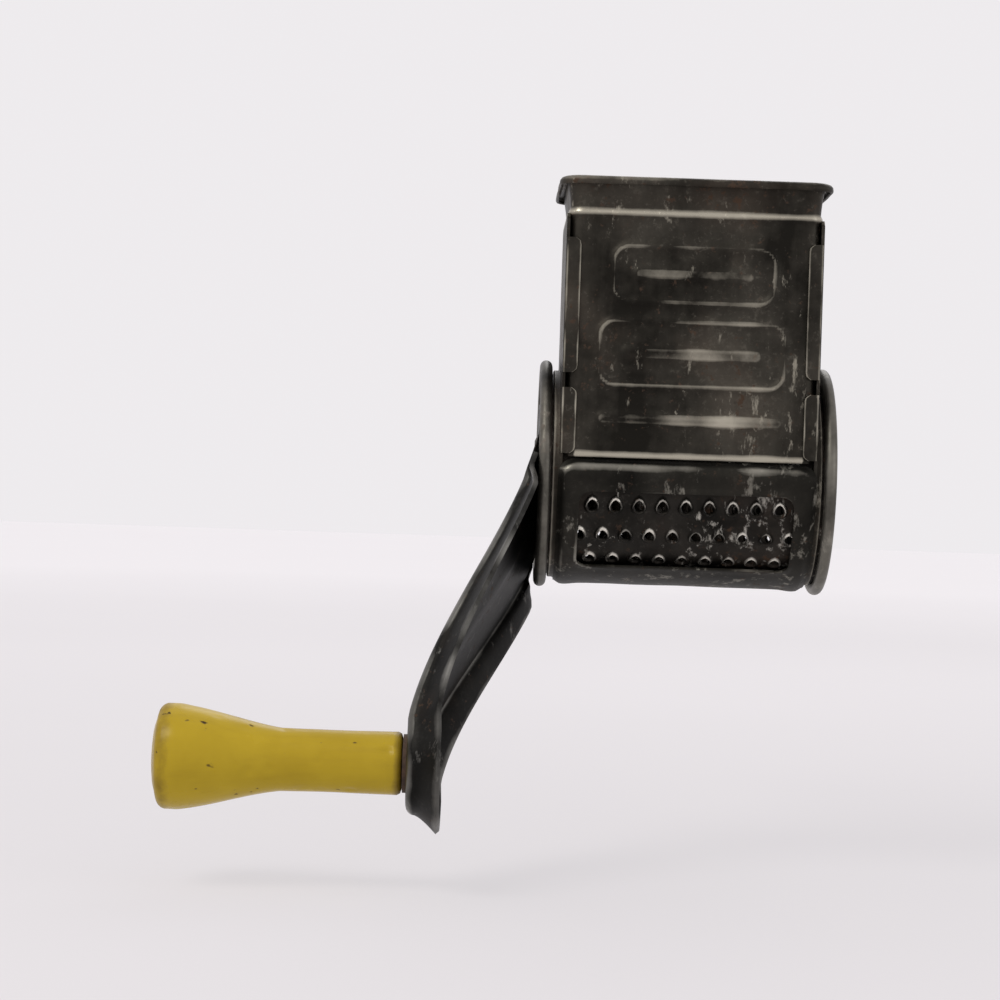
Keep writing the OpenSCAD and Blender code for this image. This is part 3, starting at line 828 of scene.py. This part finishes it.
# Rows of teeth round the drum, staggered, joined to its plain bands
def toothTree(finish):
    tree = bpy.data.node_groups.new("Rows of teeth", "GeometryNodeTree")
    inputs = {}
    kinds = {"Tooth": "Object", "Bands": "Object", "Rows": "Int", "Row Teeth": "Int", "Pitch": "Float"}
    for label, kind in kinds.items():
        inputs[label] = tree.interface.new_socket(name=label, in_out="INPUT", socket_type="NodeSocket" + kind)
    tree.interface.new_socket(name="Geometry", in_out="OUTPUT", socket_type="NodeSocketGeometry")
    given = tree.nodes.new("NodeGroupInput")

    def node(kind, settings=None, **links):
        made = tree.nodes.new(kind)
        for key, value in (settings or {}).items():
            setattr(made, key, value)
        for key, value in links.items():
            join(value, made.inputs[key.replace("_", " ")])
        return made

    def join(value, socket):
        if isinstance(value, bpy.types.NodeSocket):
            tree.links.new(value, socket)
        else:
            socket.default_value = value

    def maths(operation, first, second):
        made = node("ShaderNodeMath", {"operation": operation})
        join(first, made.inputs[0])
        join(second, made.inputs[1])
        return made.outputs[0]

    tooth = node("GeometryNodeObjectInfo", Object=given.outputs["Tooth"]).outputs["Geometry"]
    bands = node("GeometryNodeObjectInfo", Object=given.outputs["Bands"]).outputs["Geometry"]
    index = node("GeometryNodeInputIndex").outputs[0]
    pitch = given.outputs["Pitch"]
    together = tree.nodes.new("GeometryNodeJoinGeometry")
    tree.links.new(bands, together.inputs[0])
    for parity in (0, 1):
        count = maths("ADD", given.outputs["Row Teeth"], float(parity))
        start = maths("MULTIPLY", maths("SUBTRACT", count, 1.0), maths("MULTIPLY", pitch, -0.5))
        line = node("GeometryNodeMeshLine", Count=count,
                    Start_Location=node("ShaderNodeCombineXYZ", X=start).outputs[0],
                    Offset=node("ShaderNodeCombineXYZ", X=pitch).outputs[0])
        row = node("GeometryNodeInstanceOnPoints", Points=line.outputs[0], Instance=tooth).outputs[0]
        half = maths("DIVIDE", given.outputs["Rows"], 2.0)
        step = maths("DIVIDE", fullTurn, half)
        turn = maths("MULTIPLY", step, maths("ADD", index, parity / 2))
        back = maths("MULTIPLY", turn, -1.0)
        places = node("GeometryNodeMeshLine", Count=half, Offset=(0, 0, 0)).outputs[0]
        rows = node("GeometryNodeInstanceOnPoints", Points=places, Instance=row,
                    Rotation=node("ShaderNodeCombineXYZ", X=back).outputs[0])
        tree.links.new(rows.outputs[0], together.inputs[0])
    real = node("GeometryNodeRealizeInstances", Geometry=together.outputs[0]).outputs[0]
    merged = node("GeometryNodeMergeByDistance", Geometry=real, Distance=2e-5).outputs[0]
    painted = node("GeometryNodeSetMaterial", Geometry=merged, Material=finish).outputs[0]
    leaving = tree.nodes.new("NodeGroupOutput")
    tree.links.new(painted, leaving.inputs[0])
    return tree, inputs


def makeDrum():
    d = drum
    cell = makeToothCell()
    bands = makeDrumBands()
    tree, inputs = toothTree(finishes["drum_steel"])
    piece = meshPiece("gratingDrum", [], [])
    grower = piece.modifiers.new("teeth", "NODES")
    grower.node_group = tree
    values = {"Tooth": cell, "Bands": bands, "Rows": d["rows"], "Row Teeth": d["rowTeeth"],
              "Pitch": d["pitch"]}
    for label, value in values.items():
        grower[inputs[label].identifier] = value
    applied(piece)
    for helper in (cell, bands):
        bpy.data.objects.remove(helper)
    markLevel = piece.data.attributes["wear"]
    for vertex, value in zip(piece.data.vertices, markLevel.data):
        patch = noise.noise(vertex.co / (7 * mm))
        value.value *= 0.72 + 0.75 * patch
    thicken(piece, d["sheet"])
    finished(piece, "drum", "drum_steel", "drum_shell", angle=60)


makeDrum()

endDisc = {"bead": 1.6 * mm, "sheet": 0.8 * mm, "set": 1.2 * mm, "hem": 8 * mm, "pole": Vector((0, 0, 0))}


def makeEndDisc():
    e = endDisc
    bead = e["bead"]
    ring = flangeR - bead
    outer = endX + e["set"]
    inner = outer + e["sheet"]
    beadX = endX + bead
    profile = [(0, outer, 0.1), (10 * mm, outer, 0.1), (19 * mm, outer, 0.1), (22 * mm, outer, 0.35),
               (24 * mm, outer + 0.1 * mm, 0.2), (25.6 * mm, outer, 0.2)]
    profile += arc(ring, beadX, bead, -150, 150, 18, 0.45)
    profile += [(25.6 * mm, inner + 0.1 * mm, 0.1), (24 * mm, inner, 0.1), (10 * mm, inner, 0), (0, inner, 0)]
    piece = spun("drumEndDisc", profile, e["pole"], 128, closed=False)
    finished(piece, "drum", "dark_tinplate", "drum_end_disc")


def makeOutletRim():
    e = endDisc
    bead = e["bead"]
    ring = flangeR - bead
    shell = drumR - e["sheet"]
    inside = shell - e["sheet"]
    depth = e["hem"]
    profile = [(inside, -0.5 * mm, 0.6), (inside + 0.5 * mm, 0, 0.7), (26.2 * mm, -0.1 * mm, 0.2)]
    profile += arc(ring, -bead, bead, 140, -140, 18, 0.5)
    profile += [(26.7 * mm, -bead, 0.0), (26.6 * mm, -0.8 * mm, 0.0), (shell, -0.8 * mm, 0),
                (shell, -depth, 0.2), (inside + 0.2 * mm, -depth, 0.5),
                (inside, -depth + 0.3 * mm, 0.5), (inside, -depth / 2, 0.1)]
    piece = spun("drumOutletRim", profile, e["pole"], 128)
    finished(piece, "drum", "dark_tinplate", "drum_outlet_rim")


makeEndDisc()
makeOutletRim()


arm = {
    "sheet": 1.2 * mm, "drop": 9 * mm, "hubR": 25.03 * mm, "tipR": 12.5 * mm, "out": 30 * mm,
    "bendStart": 6 * mm, "bendEnd": crankR - 6 * mm, "edgeStart": 16 * mm, "root": 9 * mm,
    "rootDepth": 3.9 * mm, "hubDepth": 0.35 * mm, "edge": 7.5 * mm, "flare": 4.4 * mm, "rib": 0.9 * mm,
    "fold": 2.2 * mm,
}


def part(value, low, high):
    return min(1.0, max(0.0, (value - low) / (high - low)))


def armShift(down):
    t = part(down, arm["bendStart"], arm["bendEnd"])
    return arm["out"] * (0.5 * t + 0.5 * easeInOut(t))


def armEdgeDepth(down):
    a = arm
    rootEnd = a["edgeStart"] + a["root"]
    deep = a["hubDepth"] + a["rootDepth"] * easeInOut(part(down, a["edgeStart"], rootEnd))
    return deep + (a["edge"] - a["hubDepth"] - a["rootDepth"]) * part(down, rootEnd, crankR)


# Round the arm's outline: (across, down, spine's down, normal across, normal down)
def armOutline():
    a = arm
    lean = math.asin((a["hubR"] - a["tipR"]) / (crankR - a["drop"]))
    made = []
    side = 44
    turns = 30

    def put(r, spine, angle):
        across, down = math.sin(angle), -math.cos(angle)
        made.append((r * across, spine + r * down, spine, across, down))

    for i in range(turns):  # over the broad end, from one side to the other
        put(a["hubR"], a["drop"], between(-math.pi / 2 - lean, math.pi / 2 + lean, i / turns))
    for i in range(side):
        t = i / side
        put(between(a["hubR"], a["tipR"], t), between(a["drop"], crankR, t), math.pi / 2 + lean)
    for i in range(turns):
        put(a["tipR"], crankR, between(math.pi / 2 + lean, 3 * math.pi / 2 - lean, i / turns))
    for i in range(side):
        t = 1 - i / side
        put(between(a["hubR"], a["tipR"], t), between(a["drop"], crankR, t), 3 * math.pi / 2 - lean)
    return made


def makeArm():
    a = arm
    outline = armOutline()
    parts = [0.0, 0.10, 0.2, 0.32, 0.5, 0.68, 0.82]
    foldSteps = 5
    edgeSteps = 6
    rows = len(parts) + foldSteps + edgeSteps
    face = endX
    turn = Matrix.Rotation(-crankTilt, 3, "X")

    def at(row, column):
        across, down, spine, nAcross, nDown = outline[column]
        reach = math.hypot(across, down - spine)
        depthHere = armEdgeDepth(down)
        fold = min(a["fold"], max(0.3 * mm, depthHere))
        inset = 1 - fold / reach
        markLevel = 0.0
        if row < len(parts):
            t = parts[row] * inset / parts[-1]
            y = across * t
            z = spine + (down - spine) * t
            along = part(z, 16 * mm, 28 * mm) * (1 - part(z, crankR - 28 * mm, crankR - 15 * mm))
            x = a["rib"] * along * bell(y, 0, 3.0 * mm)
            x += dent((y, z, 0), 14 * mm, 0.12 * mm, 6.1)
            markLevel = 0.25 * along * bell(y, 0, 2.2 * mm)
        elif row < len(parts) + foldSteps:
            angle = math.pi / 2 * (row - len(parts) + 1) / foldSteps
            beyond = reach - fold + fold * math.sin(angle)
            y = nAcross * beyond
            z = spine + nDown * beyond
            x = fold * (1 - math.cos(angle)) * min(1.0, depthHere / (1.2 * mm))
            # Rubbed metal round the fold, painted brightest at the middle of the fold as a highlight where it
            # catches the light
            markLevel = 0.62 * math.sin(2 * angle) + 0.2
        else:
            t = (row - len(parts) - foldSteps + 1) / edgeSteps
            spread = easeInOut(part(down, 12 * mm, 26 * mm))
            beyond = reach + a["flare"] * spread * t ** 1.3
            y = nAcross * beyond
            z = spine + nDown * beyond
            x = between(min(fold, depthHere), depthHere, t)
            markLevel = 0.7 * bell(t, 1.0, 0.25)
        markLevel *= 0.75 + 0.7 * noise.noise(Vector((y, z, x)) / (9 * mm))
        point = turn @ Vector((face - armShift(z if row < len(parts) else down) + x, y, -z))
        return point, markLevel

    piece = tidy(surface("crankArm", rows, len(outline), at, ring=True), 2e-5)
    bm = bmesh.new()
    bm.from_mesh(piece.data)
    bmesh.ops.recalc_face_normals(bm, faces=bm.faces)
    middle = [f for f in bm.faces if f.calc_center_median().x > face - 0.3 * mm and abs(f.normal.x) > 0.9]
    if sum(f.normal.x for f in middle) > 0:
        bmesh.ops.reverse_faces(bm, faces=bm.faces)
    bm.to_mesh(piece.data)
    bm.free()
    thicken(piece, a["sheet"], 0.2 * mm)
    finished(piece, "drum", "arm_steel", "crank_arm", angle=50)


makeArm()


grip = {
    "waist": 7.75 * mm, "end": 12.95 * mm, "neck": 0.49, "belly": 0.9, "bore": 3.08 * mm,
    "recess": 6.0 * mm, "recessDepth": 2.2 * mm, "sides": 96,
}


def makeGrip():
    g = grip
    start, stop = gripHigh.x, gripLow.x
    length = start - stop

    def radiusAt(t):
        way = part(t, g["neck"], g["belly"])
        body = g["waist"] + (g["end"] - g["waist"]) * (0.62 * way + 0.38 * easeInOut(way))
        swell = 0.12 * mm * math.sin(math.pi * min(1, t / g["neck"]))
        return body - swell

    profile = [(g["bore"], start, 0.9), (g["waist"] - 1.3 * mm, start, 1.0),
               (g["waist"] - 0.4 * mm, start - 0.3 * mm, 1.0), (g["waist"], start - 1.1 * mm, 0.85)]
    for i in range(1, 60):
        t = 0.02 + i / 60 * 0.90
        age = 0.55 * bell(t, 0.02, 0.035) + 0.3 * bell(t, 0.93, 0.06) + 0.18 * bell(t, g["neck"], 0.07)
        profile.append((radiusAt(t), start - length * t, age))
    edge = radiusAt(0.92)
    turnR = 2.4 * mm
    bottom = stop + 1.0 * mm
    for i in range(1, 9):
        a = math.pi / 2 * i / 8
        profile.append((edge - turnR * (1 - math.cos(a)), bottom + turnR - turnR * math.sin(a), 0.75))
    profile.append((g["recess"] + 2.2 * mm, stop + 0.25 * mm, 0.55))
    profile.append((g["recess"] + 0.5 * mm, stop, 0.8))
    profile.append((g["recess"], stop + 0.4 * mm, 1.0))
    profile.append((g["recess"], stop + g["recessDepth"], 1.0))
    profile.append((g["bore"], stop + g["recessDepth"], 1.0))
    piece = spun("turnedGrip", profile, Vector((0, gripAxis.y, gripAxis.z)), g["sides"], layer="grime")
    for vertex in piece.data.vertices:
        off = Vector((0, vertex.co.y - gripAxis.y, vertex.co.z - gripAxis.z))
        if off.length > g["waist"] * 0.9:
            swell = 0.14 * mm * noise.noise(vertex.co / (13 * mm)) - 0.05 * mm
            hit = max(0, noise.noise(vertex.co / (3.2 * mm)) - 0.42) * 0.9 * mm
            vertex.co += off.normalized() * (swell - hit)
    finished(piece, "grip", "yellow_lacquer", "grip", angle=45)


makeGrip()


# Finishes of the pieces that stay as the CAD model has them
keptPieces = {
    "tinplate": ("rear_handle", "presser_lever", "presser_plate", "drum_hub"),
    "rivet_steel": ("handle_rivets", "hinge_pin", "presser_rivets", "crank_rivet", "drive_rivets", "grip_pin",
                    "grip_end_washer"),
    "washer_fibre": ("grip_inner_washer",),
}
for slot, nodes in keptPieces.items():
    for node in nodes:
        materials = frame["nodes"][node].data.materials
        if not materials:
            materials.append(finishes[slot])
        for place in range(len(materials)):
            materials[place] = finishes[slot]
print("finishes given to the CAD pieces")


stage = {
    "floor": -104 * mm, "size": 12.0, "floorNear": (0.22, 0.208, 0.213, 1),
    "floorFar": (0.40, 0.385, 0.392, 1), "floorGlow": 0.56, "world": (0.93, 0.905, 0.925, 1),
    "worldPower": 0.92, "away": 0.69, "view": 21.8, "roll": -1.9, "aim": (-47.6 * mm, -7.5 * mm),
}


def makeStage():
    s = stage
    half = s["size"] / 2
    corners = [(x, y, s["floor"]) for x, y in ((-half, -half), (half, -half), (half, half), (-half, half))]
    floor = meshPiece("floor", corners, [(0, 1, 2, 3)])
    f = Finish("pale floor")
    away = f.node("ShaderNodeVectorMath", {"operation": "LENGTH"}, Vector=f.place).socketNamed("Value")
    paler = (away.ramp(0.15, 2.5) + (f.cloud(3.0, 3.0, 0.5) - 0.5) * 0.1).clamped()
    f.put(Base_Color=f.blend(paler, s["floorNear"], s["floorFar"]), Roughness=0.95,
          Specular_IOR_Level=0.1, Emission_Color=s["world"], Emission_Strength=s["floorGlow"])
    floor.data.materials.append(f.material)
    world = bpy.data.worlds.new("pale room")
    bpy.context.scene.world = world
    world.use_nodes = True
    back = world.node_tree.nodes["Background"]
    back.inputs["Color"].default_value = s["world"]
    back.inputs["Strength"].default_value = s["worldPower"]


def softLight(name, place, target, size, power, colour):
    light = bpy.data.lights.new(name, "AREA")
    light.shape = "DISK"
    light.size = size
    light.energy = power
    light.color = colour
    lamp = bpy.data.objects.new(name, light)
    bpy.context.scene.collection.objects.link(lamp)
    lamp.location = place
    lamp.rotation_euler = (Vector(target) - Vector(place)).to_track_quat("-Z", "Y").to_euler()


def makeCamera():
    s = stage
    lens = bpy.data.cameras.new("camera")
    lens.lens_unit = "FOV"
    lens.angle = math.radians(s["view"])
    lens.clip_start = 0.02
    lens.clip_end = 50
    camera = bpy.data.objects.new("camera", lens)
    bpy.context.scene.collection.objects.link(camera)
    roll = math.radians(s["roll"])
    aim = Vector((midX + s["aim"][0], 0, s["aim"][1]))
    turn = Matrix.Rotation(roll, 4, "Y") @ Matrix.Rotation(math.pi / 2, 4, "X")
    camera.matrix_world = Matrix.Translation(aim + Vector((0, -s["away"], 0))) @ turn
    bpy.context.scene.camera = camera


makeStage()
middle = (midX, 0, 0)
softLight("key", (-0.55, -0.55, 0.75), middle, 0.5, 3.6, (1.0, 0.985, 0.95))
softLight("fill", (0.75, -0.6, 0.25), middle, 0.7, 0.8, (0.96, 0.97, 1.0))
softLight("back", (0.1, 0.8, 0.6), middle, 0.6, 1.2, (1.0, 1.0, 1.0))
makeCamera()
bpy.context.scene.view_settings.view_transform = "Standard"
print("stage, lights and camera made")
